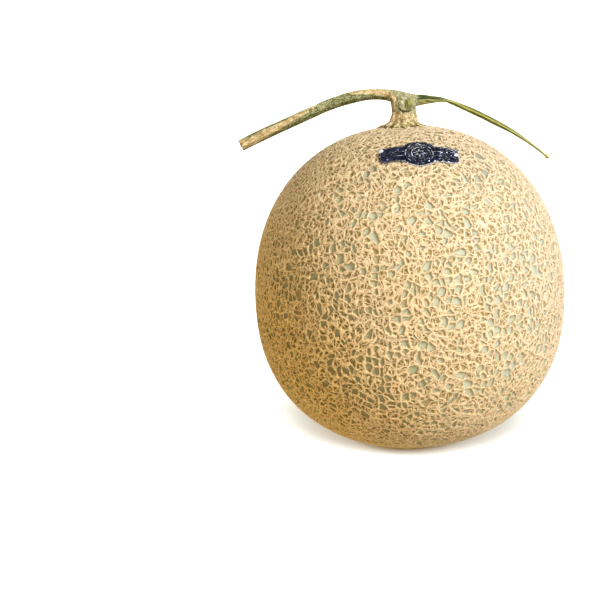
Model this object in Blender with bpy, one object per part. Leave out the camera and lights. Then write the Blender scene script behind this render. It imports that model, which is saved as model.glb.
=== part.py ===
"""A whole netted muskmelon with the T of vine that it is picked with, and a plain foil label.

The fruit stands on its flat blossom end at the origin, +Z up, in metres. Its face with the label looks
along -Y, and the thick arm of the vine points along -X.
"""

import math
import random

import bmesh
import bpy
from mathutils import Vector

MM = 0.001

# The fruit: a slightly boxy ball of revolution round an axis that leans to -X.
FRUIT_WIDTH = 145 * MM
FRUIT_HEIGHT = 149.6 * MM
WIDEST_HEIGHT = 70.4 * MM
UPPER_BOXINESS = 2.17
LOWER_BOXINESS = 2.27
LEAN = math.radians(1.84)
FOOT_RADIUS = 13 * MM

# The raised net, coarser than life: a ridge's half width at its crest and at its foot, and its height.
NET_CELLS = 480
NET_SEED = 7
CELL_JITTER = 0.24
CREST_HALF_WIDTH = 0.9 * MM
CREST_VARIES = 0.35
RIDGE_HALF_WIDTH = 1.8 * MM
RIDGE_HEIGHT = 1.4 * MM
SMALLEST_FLOOR = 0.35
NET_FADE = 7 * MM

# The stalk that joins the fruit to its vine.
SEAT_RADIUS = 9 * MM
STALK_RADIUS = 5.2 * MM
STALK_FOOT_RADIUS = 9.5 * MM
STALK_FLARE = 4.6 * MM
STALK_SHOULDER = 11 * MM
STALK_TOP = 14.2 * MM
STALK_TOP_SHARE = 0.5
STALK_SIDES = 36
BUTTRESSES = 9
BUTTRESS_DEPTH = 0.13

# The blunt scars on the stalk: how far across, to the front and up from its seat, and their stretch.
BUD_RADIUS = 2.3 * MM
BUDS = (
    ((2.9 * MM, 4.4 * MM, 9.6 * MM), (1.0, 0.8, 1.0)),
    ((-1.6 * MM, -4.4 * MM, 11 * MM), (1.2, 0.7, 0.8)),
)

# The vine from its thick cut end to its thin tip: x, y, height above the fruit's top, thickness, in mm.
VINE_ROUTE = (
    (-77.3, -8.9, -8.2, 5.6),
    (-72.0, -8.2, -5.6, 5.7),
    (-63.7, -7.0, -1.8, 5.8),
    (-54.5, -5.7, 2.2, 5.7),
    (-45.3, -4.6, 6.2, 5.7),
    (-36.1, -3.4, 10.1, 5.8),
    (-26.9, -2.3, 12.9, 6.0),
    (-20.5, -1.6, 14.1, 5.7),
    (-15.0, -1.1, 14.4, 5.4),
    (-10.0, -0.6, 14.0, 5.7),
    (-5.8, -0.2, 13.2, 6.2),
    (-2.2, 0.0, 12.4, 6.3),
    (1.5, 0.6, 11.7, 5.6),
    (4.7, 1.0, 11.5, 4.5),
    (7.9, 1.3, 11.7, 3.9),
    (11.6, 1.7, 11.8, 3.0),
    (14.8, 2.0, 11.6, 2.3),
    (17.1, 2.2, 11.1, 1.9),
    (19.4, 2.4, 10.2, 2.2),
    (23.1, 2.8, 8.7, 2.6),
    (28.2, 3.2, 6.5, 3.0),
    (34.7, 3.7, 3.4, 3.0),
    (41.2, 4.3, 0.0, 2.8),
    (47.7, 4.8, -3.5, 2.2),
    (54.2, 5.2, -7.8, 1.7),
    (59.8, 5.7, -11.9, 1.5),
    (63.1, 5.9, -14.5, 1.6),
    (65.0, 6.0, -15.8, 2.0),
)
VINE_RIBS = 5
VINE_RIB_DEPTH = 0.10

# The label: foil cut as a band with an oval in its middle, lying over the net.
BAND_LENGTH = 36 * MM
BAND_WIDTH = 10.2 * MM
BAND_SQUARENESS = 7
OVAL_LENGTH = 16 * MM
OVAL_WIDTH = 18 * MM
LABEL_THICKNESS = 0.6 * MM
LABEL_FROM_TOP = math.radians(29)
LABEL_X = 4.2 * MM
LABEL_TURN = math.radians(-2)
LABEL_RINGS = 4
LABEL_SIDES = 48

GAP = 0.3 * MM

HALF_WIDTH = FRUIT_WIDTH / 2
UPPER_HALF = FRUIT_HEIGHT - WIDEST_HEIGHT
FOOT_SINK = WIDEST_HEIGHT * (FOOT_RADIUS / HALF_WIDTH) ** LOWER_BOXINESS / LOWER_BOXINESS
LOWER_HALF = WIDEST_HEIGHT + FOOT_SINK
CENTRE = Vector((0, 0, WIDEST_HEIGHT))
AXIS = Vector((-math.sin(LEAN), 0, math.cos(LEAN)))
SEAT_HEIGHT = UPPER_HALF * (1 - (SEAT_RADIUS / HALF_WIDTH) ** UPPER_BOXINESS / UPPER_BOXINESS)
SEAT = CENTRE + AXIS * SEAT_HEIGHT


def material(name, colour, roughness, metallic=0.0):
    made = bpy.data.materials.new(name)
    made.use_nodes = True
    shader = made.node_tree.nodes["Principled BSDF"]
    shader.inputs["Base Color"].default_value = (*colour, 1)
    shader.inputs["Roughness"].default_value = roughness
    shader.inputs["Metallic"].default_value = metallic
    return made


def mesh_object(name, bm, finish, sharp_angle):
    """A linked object from a bmesh, which is freed."""
    bmesh.ops.recalc_face_normals(bm, faces=bm.faces)
    mesh = bpy.data.meshes.new(name)
    bm.to_mesh(mesh)
    bm.free()
    mesh.materials.append(finish)
    mesh.shade_smooth()
    mesh.set_sharp_from_angle(angle=sharp_angle)
    obj = bpy.data.objects.new(name, mesh)
    bpy.context.scene.collection.objects.link(obj)
    return obj


def smooth_step(x):
    x = min(1.0, max(0.0, x))
    return x * x * (3 - 2 * x)


def rind_radius(direction):
    """How far the top of the net is from the fruit's centre, that way."""
    along = direction.dot(AXIS)
    across = math.sqrt(max(0.0, 1 - along * along))
    half, boxiness = (UPPER_HALF, UPPER_BOXINESS) if along > 0 else (LOWER_HALF, LOWER_BOXINESS)
    sum_of_powers = (across / HALF_WIDTH) ** boxiness + (abs(along) / half) ** boxiness
    return sum_of_powers ** (-1 / boxiness)


def on_rind(point, above=0.0):
    """The point of the rind in the direction of a given point, or a little above or below it."""
    direction = (point - CENTRE).normalized()
    return CENTRE + direction * (rind_radius(direction) + above)


def net_depth(point):
    """The net is full height over the fruit, and fades out round its foot and round the stalk's seat."""
    from_foot = math.hypot(point.x, point.y) if point.z < WIDEST_HEIGHT else math.inf
    from_seat = (point - SEAT).length
    foot_share = smooth_step((from_foot - FOOT_RADIUS - 2 * MM) / NET_FADE)
    seat_share = smooth_step((from_seat - SEAT_RADIUS - 2 * MM) / NET_FADE)
    return RIDGE_HEIGHT * foot_share * seat_share


def cell_centres():
    """Directions spread over a ball along a golden spiral, each nudged a little from its place."""
    draw = random.Random(NET_SEED)
    golden = math.pi * (3 - math.sqrt(5))
    nudge = CELL_JITTER * math.sqrt(4 * math.pi / NET_CELLS)
    for i in range(NET_CELLS):
        height = 1 - (2 * i + 1) / NET_CELLS
        out = math.sqrt(1 - height * height)
        place = Vector((out * math.cos(golden * i), out * math.sin(golden * i), height))
        place += Vector(draw.gauss(0, 1) for _ in range(3)) * nudge
        yield place.normalized()


def hull_of_centres():
    """A ball of triangles with a corner at each cell's middle. A corner of the net lies at each triangle."""
    hull = bmesh.new()
    for centre in cell_centres():
        hull.verts.new(centre)
    bmesh.ops.convex_hull(hull, input=hull.verts)
    hull.normal_update()
    return hull


def triangles_round(centre):
    """The hull's triangles at one cell's middle, in their order round it."""
    side = centre.co.orthogonal().normalized()
    other = centre.co.cross(side)

    def turn(triangle):
        middle = triangle.calc_center_median()
        return math.atan2(middle.dot(other), middle.dot(side))

    return sorted(centre.link_faces, key=turn)


def cell_rims(corners, crest_half_width):
    """The points of a cell's crest line, and below them those of its sunken floor."""
    middle = sum(corners, Vector()) / len(corners)
    reach = min(((a + b) / 2 - middle).length for a, b in zip(corners, corners[1:] + corners[:1]))
    for half_width, depth in ((crest_half_width, 0), (RIDGE_HALF_WIDTH, net_depth(middle))):
        keep = max(SMALLEST_FLOOR, 1 - half_width / reach)
        yield [on_rind(middle + (corner - middle) * keep, above=-depth) for corner in corners]


def netted_ball():
    """The fruit's surface: sunken floors, the walls round them, and the ridges' crests between them."""
    draw = random.Random(NET_SEED)
    hull = hull_of_centres()
    net = bmesh.new()
    crest_point = {}
    for centre in hull.verts:
        triangles = triangles_round(centre)
        corners = [on_rind(CENTRE + triangle.normal) for triangle in triangles]
        crest_half_width = CREST_HALF_WIDTH * (1 + draw.uniform(-CREST_VARIES, CREST_VARIES))
        crest, floor = (
            [net.verts.new(point) for point in rim] for rim in cell_rims(corners, crest_half_width)
        )
        net.faces.new(floor)
        for i in range(len(floor)):
            net.faces.new((crest[i - 1], crest[i], floor[i], floor[i - 1]))
        for triangle, point in zip(triangles, crest):
            crest_point[centre, triangle] = point
    for triangle in hull.faces:
        net.faces.new([crest_point[centre, triangle] for centre in triangle.verts])
    for edge in hull.edges:
        (one, other), (left, right) = edge.verts, edge.link_faces
        corners = ((one, left), (other, left), (other, right), (one, right))
        net.faces.new([crest_point[corner] for corner in corners])
    hull.free()
    return net


def cut_flat(bm, point, normal):
    """Takes off what lies past a plane and closes the cut with one flat face."""
    cut = bmesh.ops.bisect_plane(
        bm,
        geom=[*bm.verts, *bm.edges, *bm.faces],
        dist=1e-6,
        plane_co=point,
        plane_no=normal,
        clear_outer=True,
    )
    rim = [part for part in cut["geom_cut"] if isinstance(part, bmesh.types.BMEdge)]
    bmesh.ops.contextual_create(bm, geom=rim)


def make_fruit():
    net = netted_ball()
    cut_flat(net, Vector((0, 0, 0)), Vector((0, 0, -1)))
    cut_flat(net, SEAT, AXIS)
    rind = material("netted rind", (0.62, 0.47, 0.25), 0.75)
    return mesh_object("fruit", net, rind, math.radians(12))


def ringed_solid(rings):
    """A closed bmesh lofted through rings of equal length, with a flat cap on each end."""
    bm = bmesh.new()
    made = [[bm.verts.new(point) for point in ring] for ring in rings]
    sides = len(made[0])
    for lower, upper in zip(made, made[1:]):
        for i in range(sides):
            j = (i + 1) % sides
            bm.faces.new((lower[i], lower[j], upper[j], upper[i]))
    bm.faces.new(reversed(made[0]))
    bm.faces.new(made[-1])
    return bm


def on_stalk(across, front, height):
    """A point of the stalk, which stands square on its seat."""
    side = Vector((AXIS.z, 0, -AXIS.x))
    return SEAT + side * across - Vector((0, front, 0)) + AXIS * (GAP + height)


def stalk_ring(height):
    """One ring of the stalk: it flares at its foot into buttresses, and rounds in under the vine."""
    flare = (1 - smooth_step(height / STALK_FLARE)) ** 1.5
    shoulder = max(0.0, (height - STALK_SHOULDER) / (STALK_TOP - STALK_SHOULDER))
    radius = STALK_RADIUS * (1 - (1 - STALK_TOP_SHARE) * shoulder**2)
    radius += (STALK_FOOT_RADIUS - STALK_RADIUS) * flare
    for i in range(STALK_SIDES):
        turn = 2 * math.pi * i / STALK_SIDES
        rib = BUTTRESS_DEPTH * flare * (math.cos(BUTTRESSES * turn) - 1) / 2
        out = radius * (1 + rib)
        yield on_stalk(out * math.cos(turn), -out * math.sin(turn), height)


def make_stalk(finish):
    low = [STALK_FLARE * share for share in (0, 0.11, 0.22, 0.35, 0.5, 0.7, 1)]
    middle = (STALK_FLARE + STALK_SHOULDER) / 2
    high = [
        STALK_SHOULDER + (STALK_TOP - STALK_SHOULDER) * share for share in (0, 0.45, 0.75, 1)
    ]
    rings = [list(stalk_ring(height)) for height in (*low, middle, *high)]
    return mesh_object("stem", ringed_solid(rings), finish, math.radians(40))


def vine_points():
    """The vine's route as (point, thickness), in metres."""
    for x, y, height, thickness in VINE_ROUTE:
        yield Vector((x * MM, y * MM, FRUIT_HEIGHT + height * MM)), thickness * MM


def smooth_route(places, steps):
    """Points and thicknesses along a smooth curve through the given ones."""
    places = list(places)
    for i in range(len(places) - 1):
        before, here, there, after = (
            places[max(0, min(len(places) - 1, i + k))] for k in (-1, 0, 1, 2)
        )
        for step in range(steps):
            t = step / steps
            weights = (
                (-t + 2 * t * t - t**3) / 2,
                (2 - 5 * t * t + 3 * t**3) / 2,
                (t + 4 * t * t - 3 * t**3) / 2,
                (t**3 - t * t) / 2,
            )
            point = Vector((0, 0, 0))
            thickness = 0.0
            for weight, place in zip(weights, (before, here, there, after)):
                point += place[0] * weight
                thickness += place[1] * weight
            yield point, thickness
    yield places[-1]


def ribbed_profile():
    """The vine's outline across its length: round, with a few blunt ribs."""
    corners = 2 * VINE_RIBS
    for i in range(corners):
        turn = 2 * math.pi * i / corners
        out = 1 if i % 2 == 0 else 1 - VINE_RIB_DEPTH
        yield out * math.cos(turn), out * math.sin(turn)


def make_vine(finish):
    route = list(smooth_route(vine_points(), 3))
    rings = []
    for i, (point, thickness) in enumerate(route):
        before = route[max(0, i - 1)][0]
        after = route[min(len(route) - 1, i + 1)][0]
        along = (after - before).normalized()
        side = Vector((0, 1, 0)).cross(along).normalized()
        other = along.cross(side)
        rings.append(
            [point + (side * u + other * v) * (thickness / 2) for u, v in ribbed_profile()]
        )
    return mesh_object("vine", ringed_solid(rings), finish, math.radians(40))


def make_bud(finish, place, stretch):
    bm = bmesh.new()
    bmesh.ops.create_icosphere(bm, subdivisions=2, radius=BUD_RADIUS)
    bmesh.ops.scale(bm, vec=stretch, verts=bm.verts)
    bmesh.ops.translate(bm, vec=place, verts=bm.verts)
    return mesh_object("bud", bm, finish, math.radians(60))


def join_solids(target, others):
    """Joins the others into the target by one union, and removes them."""
    group = bpy.data.collections.new("joined")
    bpy.context.scene.collection.children.link(group)
    for other in others:
        bpy.context.scene.collection.objects.unlink(other)
        group.objects.link(other)
    union = target.modifiers.new("union", "BOOLEAN")
    union.operation = "UNION"
    union.operand_type = "COLLECTION"
    union.collection = group
    graph = bpy.context.evaluated_depsgraph_get()
    joined = bpy.data.meshes.new_from_object(target.evaluated_get(graph))
    target.modifiers.clear()
    target.data = joined
    for other in others:
        bpy.data.objects.remove(other)
    bpy.data.collections.remove(group)


def make_stem():
    bark = material("vine bark", (0.42, 0.43, 0.20), 0.6)
    stem = make_stalk(bark)
    vine = make_vine(bark)
    buds = [make_bud(bark, on_stalk(*place), stretch) for place, stretch in BUDS]
    join_solids(stem, [vine, *buds])
    return stem


def label_point(along, across):
    """A point just above the net, a given way along and across the label from its middle."""
    sideways = LABEL_X / HALF_WIDTH
    facing = Vector((sideways, -math.sin(LABEL_FROM_TOP), math.cos(LABEL_FROM_TOP))).normalized()
    right = Vector((0, 0, 1)).cross(facing).normalized()
    up = facing.cross(right)
    turned_right = right * math.cos(LABEL_TURN) + up * math.sin(LABEL_TURN)
    turned_up = facing.cross(turned_right)
    middle = facing * rind_radius(facing)
    return on_rind(CENTRE + middle + turned_right * along + turned_up * across, above=GAP)


def label_reach(turn):
    """From the label's middle to its edge: the band's, or the oval's where that is further."""
    x, y = abs(math.cos(turn)), abs(math.sin(turn))
    oval = math.hypot(x / (OVAL_LENGTH / 2), y / (OVAL_WIDTH / 2))
    band = (x / (BAND_LENGTH / 2)) ** BAND_SQUARENESS + (y / (BAND_WIDTH / 2)) ** BAND_SQUARENESS
    return 1 / min(oval, band ** (1 / BAND_SQUARENESS))


def label_ring(share):
    """Points on a ring a given share of the way from the label's middle to its edge."""
    for i in range(LABEL_SIDES):
        turn = 2 * math.pi * i / LABEL_SIDES
        reach = share * label_reach(turn)
        yield label_point(reach * math.cos(turn), reach * math.sin(turn))


def make_label():
    bm = bmesh.new()
    centre = bm.verts.new(label_point(0, 0))
    rings = [
        [bm.verts.new(point) for point in label_ring((ring + 1) / LABEL_RINGS)]
        for ring in range(LABEL_RINGS)
    ]
    for i in range(LABEL_SIDES):
        j = (i + 1) % LABEL_SIDES
        bm.faces.new((centre, rings[0][i], rings[0][j]))
        for inner, outer in zip(rings, rings[1:]):
            bm.faces.new((inner[i], outer[i], outer[j], inner[j]))
    foil = material("navy foil", (0.02, 0.03, 0.10), 0.35, 0.4)
    label = mesh_object("label", bm, foil, math.radians(40))
    if label.data.polygons[0].normal.z < 0:
        label.data.flip_normals()
    thickness = label.modifiers.new("thickness", "SOLIDIFY")
    thickness.thickness = LABEL_THICKNESS
    thickness.offset = 1
    return label


def main():
    for obj in list(bpy.data.objects):
        bpy.data.objects.remove(obj)
    make_fruit()
    make_stem()
    make_label()


main()
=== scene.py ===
"""Looks of a whole netted muskmelon with its T of vine and a plain foil label, laid out as a Blender add-on.

The fruit stands on its flat blossom end at the origin, +Z up, in metres. Its face with the label looks
along -Y, and the thick arm of the vine points along -X.
"""

import math

import bpy
from mathutils import Matrix, Vector


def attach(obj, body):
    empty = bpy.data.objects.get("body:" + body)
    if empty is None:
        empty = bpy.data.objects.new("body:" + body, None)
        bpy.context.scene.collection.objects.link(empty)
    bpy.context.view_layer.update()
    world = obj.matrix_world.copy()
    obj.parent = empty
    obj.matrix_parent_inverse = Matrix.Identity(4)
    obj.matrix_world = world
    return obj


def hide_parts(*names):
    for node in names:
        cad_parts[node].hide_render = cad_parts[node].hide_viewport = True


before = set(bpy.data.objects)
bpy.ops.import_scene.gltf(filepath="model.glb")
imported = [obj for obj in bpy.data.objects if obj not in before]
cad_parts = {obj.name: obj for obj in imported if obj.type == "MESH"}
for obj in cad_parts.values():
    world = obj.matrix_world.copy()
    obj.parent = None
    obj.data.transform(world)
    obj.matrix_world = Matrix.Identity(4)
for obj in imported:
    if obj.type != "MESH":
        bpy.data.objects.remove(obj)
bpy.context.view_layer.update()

bl_info = {
    "name": "Netted muskmelon",
    "version": (1, 0, 0),
    "blender": (4, 5, 0),
    "location": "View3D > Sidebar > Muskmelon",
    "description": "Models the netted rind, the vine and the foil label round the fruit's frame",
    "category": "Mesh",
}

MM = 0.001

# The fruit as the part has it: a slightly boxy ball of revolution round an axis that leans to -X.
FRUIT_WIDTH = 145 * MM
FRUIT_HEIGHT = 149.6 * MM
WIDEST_HEIGHT = 70.4 * MM
UPPER_BOXINESS = 2.17
LOWER_BOXINESS = 2.27
LEAN = math.radians(1.84)
FOOT_RADIUS = 13 * MM
SEAT_RADIUS = 9 * MM

HALF_WIDTH = FRUIT_WIDTH / 2
UPPER_HALF = FRUIT_HEIGHT - WIDEST_HEIGHT
LOWER_HALF = WIDEST_HEIGHT * (1 + (FOOT_RADIUS / HALF_WIDTH) ** LOWER_BOXINESS / LOWER_BOXINESS)
CENTRE = Vector((0, 0, WIDEST_HEIGHT))
AXIS = Vector((-math.sin(LEAN), 0, math.cos(LEAN)))
SHADED_SIDE_WAY = Vector((-0.82, 0, -0.5))
SEAT_HEIGHT = UPPER_HALF * (1 - (SEAT_RADIUS / HALF_WIDTH) ** UPPER_BOXINESS / UPPER_BOXINESS)
SEAT = CENTRE + AXIS * SEAT_HEIGHT

# The net's warps, as noise scale and push, on a ball of radius 1. Its cells are a little taller than wide,
# and of the finer ones inside them some 1.7 go across one.
WARPS = ((6.0, 0.08), (24.0, 0.034), (70.0, 0.014), (150.0, 0.005))
CELL_STRETCH = (1, 1, 0.85)
CELL_RANDOMNESS = 0.85
FINE_CELLS_ACROSS = 1.7
FINE_CELL_SEED = (7.7, 4.1, 2.9)

# The rind's colour carries painted light and shade: a tint paler on its lit right side and more golden on its
# shaded left and lower side. Its cork blushes warmer in places, and the depths of the net carry painted shade
# on the shaded side and are darker near the stalk.
LIT_SIDE_TINT = (0.97, 1.01, 1.14)
SHADED_SIDE_TINT = (1.03, 0.88, 0.47)
CORK_BLUSH = (0.70, 0.43, 0.235)
CREST_BLUSH = (0.85, 0.64, 0.47)
DEPTH_SHADE = (0.10, 0.075, 0.02)


class Flow:
    """One socket of a node tree, in a shader or in geometry nodes. Arithmetic on values adds Math nodes."""

    def __init__(self, tree, socket=None):
        self.tree = tree
        self.socket = socket

    def node(self, kind, settings=None, sockets=None, output=0):
        """Adds any other node: its settings come first, then the values or links of its sockets."""
        made = self.tree.nodes.new(kind)
        for name, value in (settings or {}).items():
            if name == "curve":
                points = made.mapping.curves[0].points
                for place in value[1:-1]:
                    points.new(*place)
                points[0].location, points[-1].location = value[0], value[-1]
                made.mapping.update()
            else:
                setattr(made, name, value)
        for place, value in (sockets or {}).items():
            if isinstance(value, Flow):
                self.tree.links.new(value.socket, made.inputs[place])
            else:
                made.inputs[place].default_value = value
        return Flow(self.tree, made.outputs[output] if made.outputs else None)

    def out(self, name):
        """Another output of the node that this socket belongs to."""
        return Flow(self.tree, self.socket.node.outputs[name])

    def math(self, operation, *values):
        return self.node("ShaderNodeMath", {"operation": operation}, dict(enumerate(values)))

    def __add__(self, other):
        return self.math("ADD", self, other)

    __radd__ = __add__

    def __mul__(self, other):
        return self.math("MULTIPLY", self, other)

    __rmul__ = __mul__

    def __sub__(self, other):
        return self.math("SUBTRACT", self, other)

    def __rsub__(self, other):
        return self.math("SUBTRACT", other, self)

    def __truediv__(self, other):
        return self.math("DIVIDE", self, other)

    def __rtruediv__(self, other):
        return self.math("DIVIDE", other, self)

    def __pow__(self, other):
        return self.math("POWER", self, other)

    def __abs__(self):
        return self.math("ABSOLUTE", self)

    def least(self, other):
        return self.math("MINIMUM", self, other)

    def most(self, other):
        return self.math("MAXIMUM", self, other)

    def smooth(self, low, high, start=0.0, end=1.0):
        """A soft step of this value, from start at low to end at high."""
        sockets = {0: self, 1: low, 2: high, 3: start, 4: end}
        return self.node("ShaderNodeMapRange", {"interpolation_type": "SMOOTHSTEP"}, sockets)

    def vector(self, operation, *others, output=0):
        sockets = dict(enumerate((self, *others)))
        return self.node("ShaderNodeVectorMath", {"operation": operation}, sockets, output)

    def times(self, factor):
        """This vector, scaled by a value."""
        return self.node("ShaderNodeVectorMath", {"operation": "SCALE"}, {0: self, "Scale": factor})

    def moved(self, offset):
        return self.vector("ADD", offset)

    def dot(self, other):
        return self.vector("DOT_PRODUCT", other, output=1)

    def length(self):
        return self.vector("LENGTH", output=1)

    def parts(self):
        """The x, y and z of this vector."""
        x = self.node("ShaderNodeSeparateXYZ", {}, {0: self})
        return x, x.out("Y"), x.out("Z")

    def joined(self, x, y, z):
        return self.node("ShaderNodeCombineXYZ", {}, {0: x, 1: y, 2: z})

    def noise(self, scale, detail=1.0, rough=0.5, output=0):
        sockets = {"Vector": self, "Scale": scale, "Detail": detail, "Roughness": rough}
        return self.node("ShaderNodeTexNoise", {}, sockets, output)

    def bump(self, strength, distance, height):
        """The normal that a height gives, with the same strength and distance all over."""
        return self.node("ShaderNodeBump", {}, {"Strength": strength, "Distance": distance, "Height": height})

    def mix(self, low, high):
        """The colour low where this value is 0, and high where it is 1."""
        low, high = (c if isinstance(c, Flow) else (*c[:3], 1) for c in (low, high))
        sockets = {0: self, 6: low, 7: high}
        return self.node("ShaderNodeMix", {"data_type": "RGBA"}, sockets, 2)


def deselect():
    if bpy.context.mode != "OBJECT":
        bpy.ops.object.mode_set(mode="OBJECT")
    bpy.ops.object.select_all(action="DESELECT")


def pick(*objects):
    """Selects these objects alone, the last of them active."""
    deselect()
    for obj in objects:
        obj.select_set(True)
    bpy.context.view_layer.objects.active = objects[-1]


def apply_modifier(obj, kind, **settings):
    pick(obj)
    made = obj.modifiers.new(kind.lower(), kind)
    for name, value in settings.items():
        setattr(made, name, value)
    bpy.ops.object.modifier_apply(modifier=made.name)


def apply_nodes(obj, build):
    """Runs a geometry node tree on an object once. build takes and returns the geometry's Flow."""
    tree = bpy.data.node_groups.new("shaping", "GeometryNodeTree")
    for way in ("INPUT", "OUTPUT"):
        tree.interface.new_socket("Geometry", in_out=way, socket_type="NodeSocketGeometry")
    start = Flow(tree).node("NodeGroupInput")
    start.node("NodeGroupOutput", {}, {0: build(start)})
    apply_modifier(obj, "NODES", node_group=tree)
    bpy.data.node_groups.remove(tree)


def position(flow):
    return flow.node("GeometryNodeInputPosition")


def place_at(geometry, where):
    return geometry.node("GeometryNodeSetPosition", {}, {"Geometry": geometry, "Position": where})


def keep_as(geometry, name, value, kind="FLOAT"):
    """Stores a value or vector on each point, for the material to read by name."""
    settings = {"data_type": kind, "domain": "POINT"}
    sockets = {"Geometry": geometry, "Name": name, "Value": value}
    return geometry.node("GeometryNodeStoreNamedAttribute", settings, sockets)


def object_place(tree):
    return Flow(tree).node("ShaderNodeTexCoord").out("Object")


def new_finish(name, roughness=0.6, metallic=0.0):
    """A node material and its main shader. Numbers that are the same all over go straight on its sockets."""
    made = bpy.data.materials.new(name)
    made.use_nodes = True
    shader = made.node_tree.nodes["Principled BSDF"]
    shader.inputs["Roughness"].default_value = roughness
    shader.inputs["Metallic"].default_value = metallic
    return made, shader


def feed(shader, socket, flow):
    flow.tree.links.new(flow.socket, shader.inputs[socket])


def give(piece, finish, slot, *nodes):
    """Puts the finish on a piece, and says what it rides on and stands for."""
    piece.data.materials.clear()
    piece.data.materials.append(finish)
    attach(piece, "root")
    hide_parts(*nodes)


# The rind and its net

# How far the net's crests lie inside the frame's fruit, and how far off the axis the net fades in at the
# stalk's seat and round the blossom end, as shares of the way out.
RIND_INSET = 0.1 * MM
STALK_END = (0.118, 0.15)
BLOSSOM_END = (0.19, 0.27)


def rind_radius(direction):
    """How far the top of the net is from the fruit's centre, that way."""
    along = direction.dot(AXIS)
    half, boxiness = (UPPER_HALF, UPPER_BOXINESS) if along > 0 else (LOWER_HALF, LOWER_BOXINESS)
    across = math.sqrt(max(0.0, 1 - along * along))
    return ((across / HALF_WIDTH) ** boxiness + (abs(along) / half) ** boxiness) ** (-1 / boxiness)


def rind_shape(direction):
    """The same in nodes, with how far along the fruit's axis and how far off it the direction points."""
    along = direction.dot(AXIS)
    across = (1 - along * along).most(0.0) ** 0.5

    def half_ball(half, boxiness):
        sum_of_powers = (across / HALF_WIDTH) ** boxiness + (abs(along) / half) ** boxiness
        return sum_of_powers ** (-1 / boxiness)

    upper = along.math("GREATER_THAN", along, 0.0)
    lower_ball = half_ball(LOWER_HALF, LOWER_BOXINESS)
    radius = lower_ball + upper * (half_ball(UPPER_HALF, UPPER_BOXINESS) - lower_ball)
    return radius, along, across


def cells(direction, warped, size, seed):
    """Cells of a given size: how far the nearest wall and the cell's middle are, and the cell's number."""
    scale = HALF_WIDTH / size
    place = warped.moved(seed)
    first, second = (
        place.node(
            "ShaderNodeTexVoronoi",
            {"feature": feature},
            {"Vector": place, "Scale": scale, "Randomness": CELL_RANDOMNESS},
        )
        for feature in ("F1", "F2")
    )
    here, there = first.out("Position"), second.out("Position")
    apart = there.vector("SUBTRACT", here).vector("CROSS_PRODUCT", direction).length() + 1e-4
    to_wall = (second * second - first * first) / (2 * scale * scale) / apart
    to_middle = here.vector("SUBTRACT", place).vector("CROSS_PRODUCT", direction).length()
    number, _, _ = first.out("Color").parts()
    return to_wall * HALF_WIDTH, to_middle * HALF_WIDTH, number


def net(direction, sizes):
    """The net's height from 0 to 1 in a direction, how far the bare skin shows, and its pale lines.

    Thin ridges of cork part the cells, which are smaller to the left and near the foot. About half of them
    are windows that open down to the skin, fewer to the left and near the ends, and finer ridges cross the
    others.
    """
    warped = direction
    for scale, push in WARPS:
        noise = direction.noise(scale, output=1)
        warped = warped.moved(noise.vector("SUBTRACT", (0.5, 0.5, 0.5)).times(push))
    warped = warped.vector("MULTIPLY", CELL_STRETCH)
    x, _, z = direction.parts()
    fineness = 1 + z.smooth(-0.95, -0.3, 0.12, 0.0) + x.smooth(-0.7, 0.0, 0.15, 0.0)
    warped = warped.times(fineness)
    wide = direction.noise(14.0)
    to_wall, to_middle, number = cells(direction, warped, sizes.cell_size, (0, 0, 0))
    to_crack, _, _ = cells(direction, warped, sizes.cell_size / FINE_CELLS_ACROSS, FINE_CELL_SEED)
    rope = sizes.rope_width
    inward = to_wall.least((0.85 + 0.1 * number) * sizes.cell_size - to_middle).most(0.0)
    ridge = 1 - inward.smooth(0.1 * rope, (0.4 + 0.45 * wide) * rope)
    away = 0.2 * abs(z + 0.05).smooth(0.35, 0.9) + 0.6 * z.smooth(0.96, 0.985)
    away = away + x.smooth(-0.7, 0.0, 0.12, 0.0)
    window = (number - away).smooth(0.5, 0.6)
    sub_ridge = to_crack.smooth(0.1 * rope, 0.36 * rope, 0.85, 0.1) * (1 - window)
    height = ridge.most(sub_ridge)
    open_pit = window * height.smooth(0.1, 0.3, 1.0, 0.0)
    rim = inward.smooth(0.06 * rope, 0.26 * rope, 0.9, 0.0)
    fine_crest = to_crack.smooth(0.04 * rope, 0.18 * rope, 0.7, 0.0) * (1 - window)
    return height, open_pit, rim.most(fine_crest)


def rind_finish(sizes):
    finish, shader = new_finish("netted rind", roughness=0.72)
    place = object_place(finish.node_tree)
    direction = place.vector("SUBTRACT", CENTRE).vector("NORMALIZE")
    height, open_pit, pale_line = net(direction, sizes)
    colour = height.smooth(0.05, 0.45).mix(sizes.pit_colour, sizes.flank_colour)
    blush = 0.7 * direction.noise(70.0, 2.0).smooth(0.45, 0.62)
    colour = height.smooth(0.4, 0.8).mix(colour, blush.mix(sizes.cork_colour, CORK_BLUSH))
    colour = (0.85 * pale_line).mix(colour, blush.mix(sizes.crest_colour, CREST_BLUSH))
    colour = open_pit.mix(colour, sizes.skin_colour)
    # A tint painted by how the light falls: paler on the lit side, more golden on the shaded side.
    toward_shaded_side = direction.dot(SHADED_SIDE_WAY) + 0.25 * (direction.noise(3.0) - 0.5)
    _, _, z = direction.parts()
    # Painted shade in the net's depths on the shaded side; the depths are also darker near the stalk.
    shade = (0.6 - 0.6 * height) * toward_shaded_side.smooth(-0.3, 0.7).most(z.smooth(0.65, 0.9, 0.0, 0.8))
    colour = shade.mix(colour, DEPTH_SHADE)
    tint = toward_shaded_side.smooth(-0.9, 0.15).mix(LIT_SIDE_TINT, (1, 1, 1))
    tint = toward_shaded_side.smooth(0.05, 0.85).mix(tint, SHADED_SIDE_TINT)
    feed(shader, "Base Color", colour.vector("MULTIPLY", tint))
    relief = height + 0.15 * pale_line + 0.1 * place.noise(2300.0, 1.0)
    feed(shader, "Normal", place.bump(0.75, sizes.net_height, relief))
    return finish


# The vine

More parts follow.
